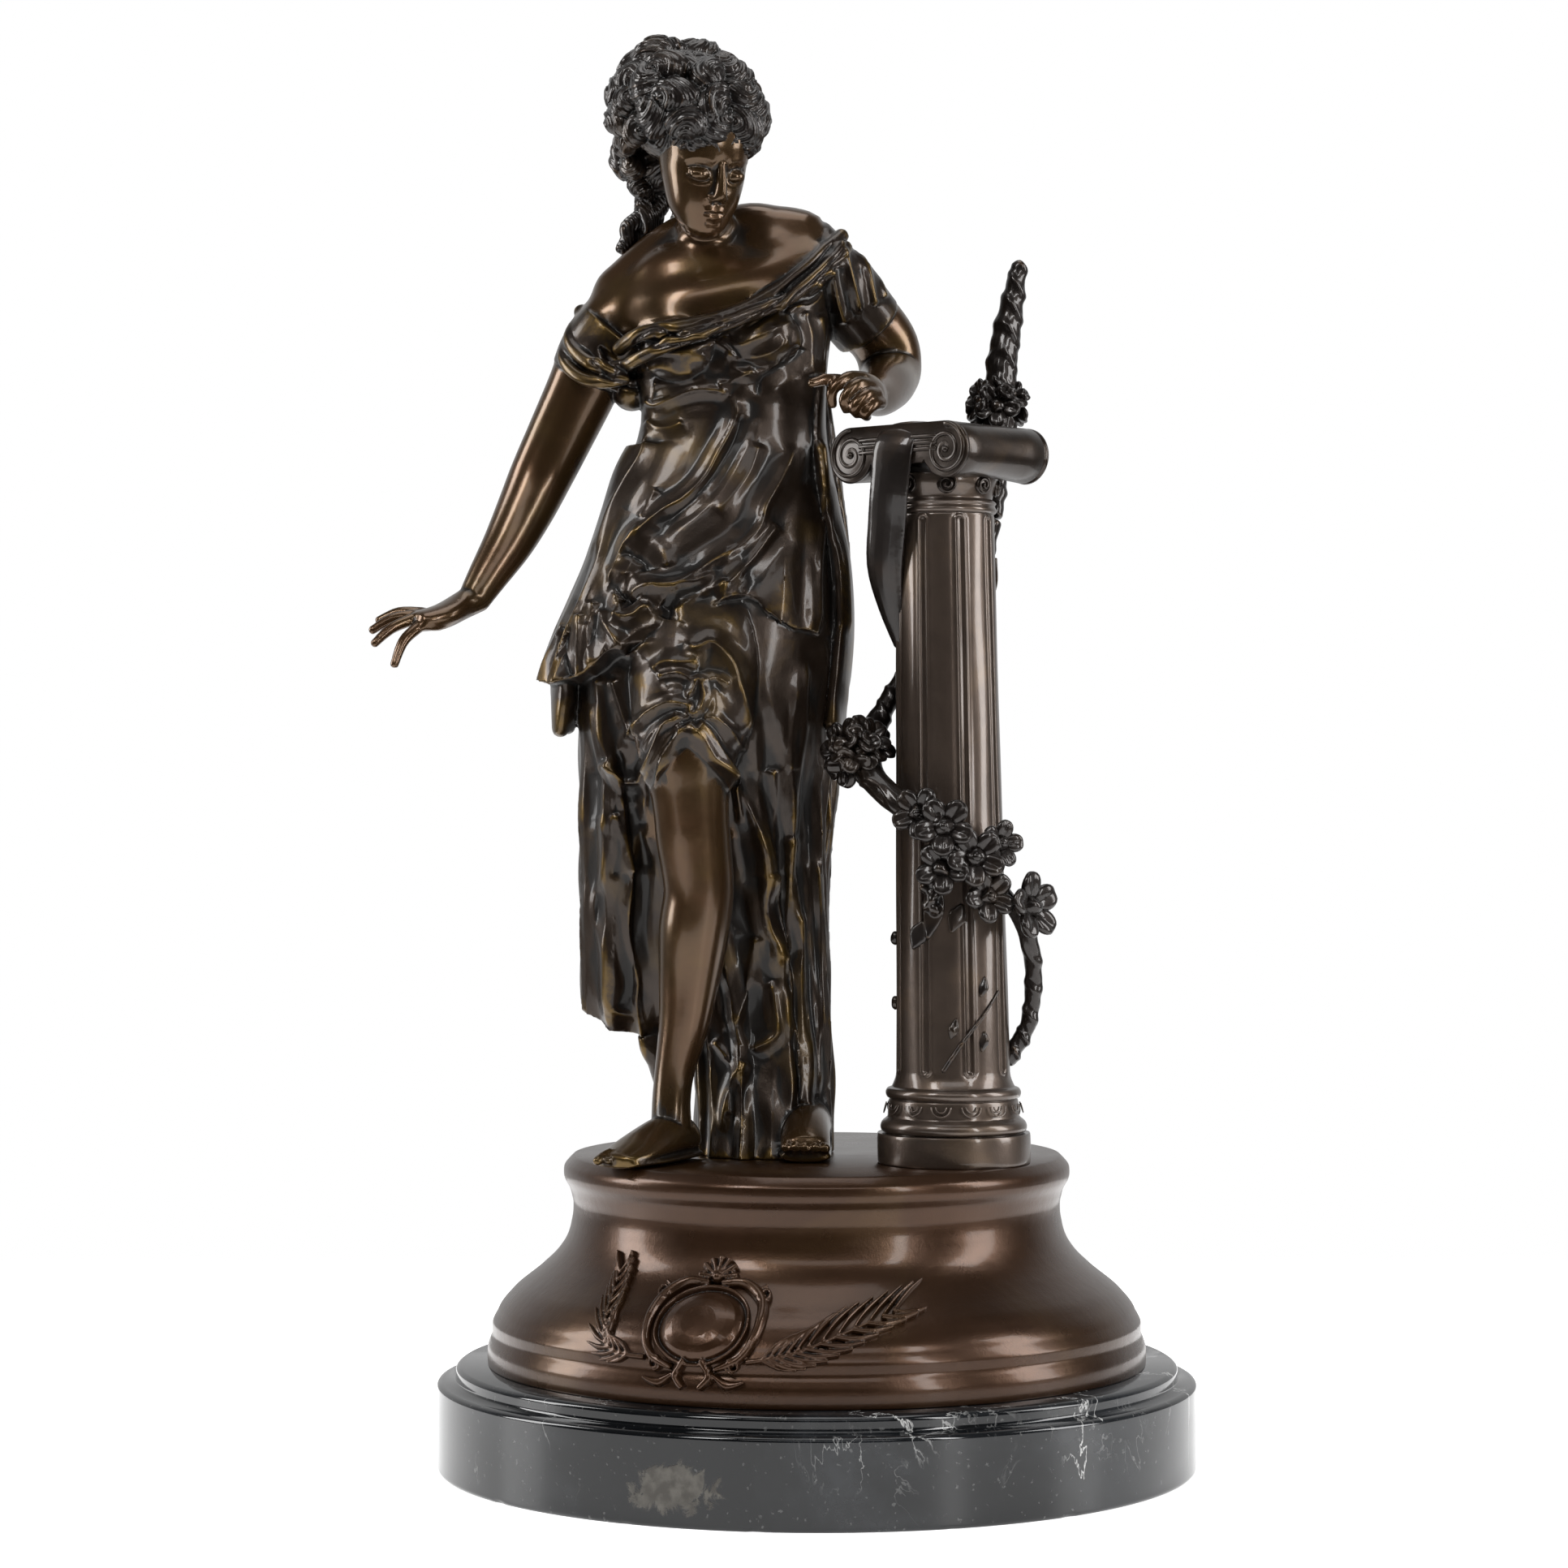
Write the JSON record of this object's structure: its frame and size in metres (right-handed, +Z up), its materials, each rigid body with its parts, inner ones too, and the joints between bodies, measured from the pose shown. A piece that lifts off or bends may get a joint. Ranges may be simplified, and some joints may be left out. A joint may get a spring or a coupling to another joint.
{
  "type": "bronze lady sculpture",
  "caption": "Bronze statuette of a draped lady leaning on a flower-wound column, on a turned bronze socle and a round black marble base.",
  "frame": {"origin": "middle of the marble base's underside", "axes": "+Z up, +X to the viewer's right, the figure looks along -Y"},
  "size_m": [0.3896, 0.36, 0.6763],
  "materials": {
    "marble_base": "polished black marble with white veins",
    "bronze_socle": "brown patinated bronze, waxed",
    "column": "dark brown patinated bronze, waxed",
    "lady": "brown patinated bronze, waxed"
  },
  "bodies": {
    "root": {"marble_base": "marble_base", "bronze_socle": "bronze_socle", "column": "column", "lady": "lady"}
  },
  "joints": []
}
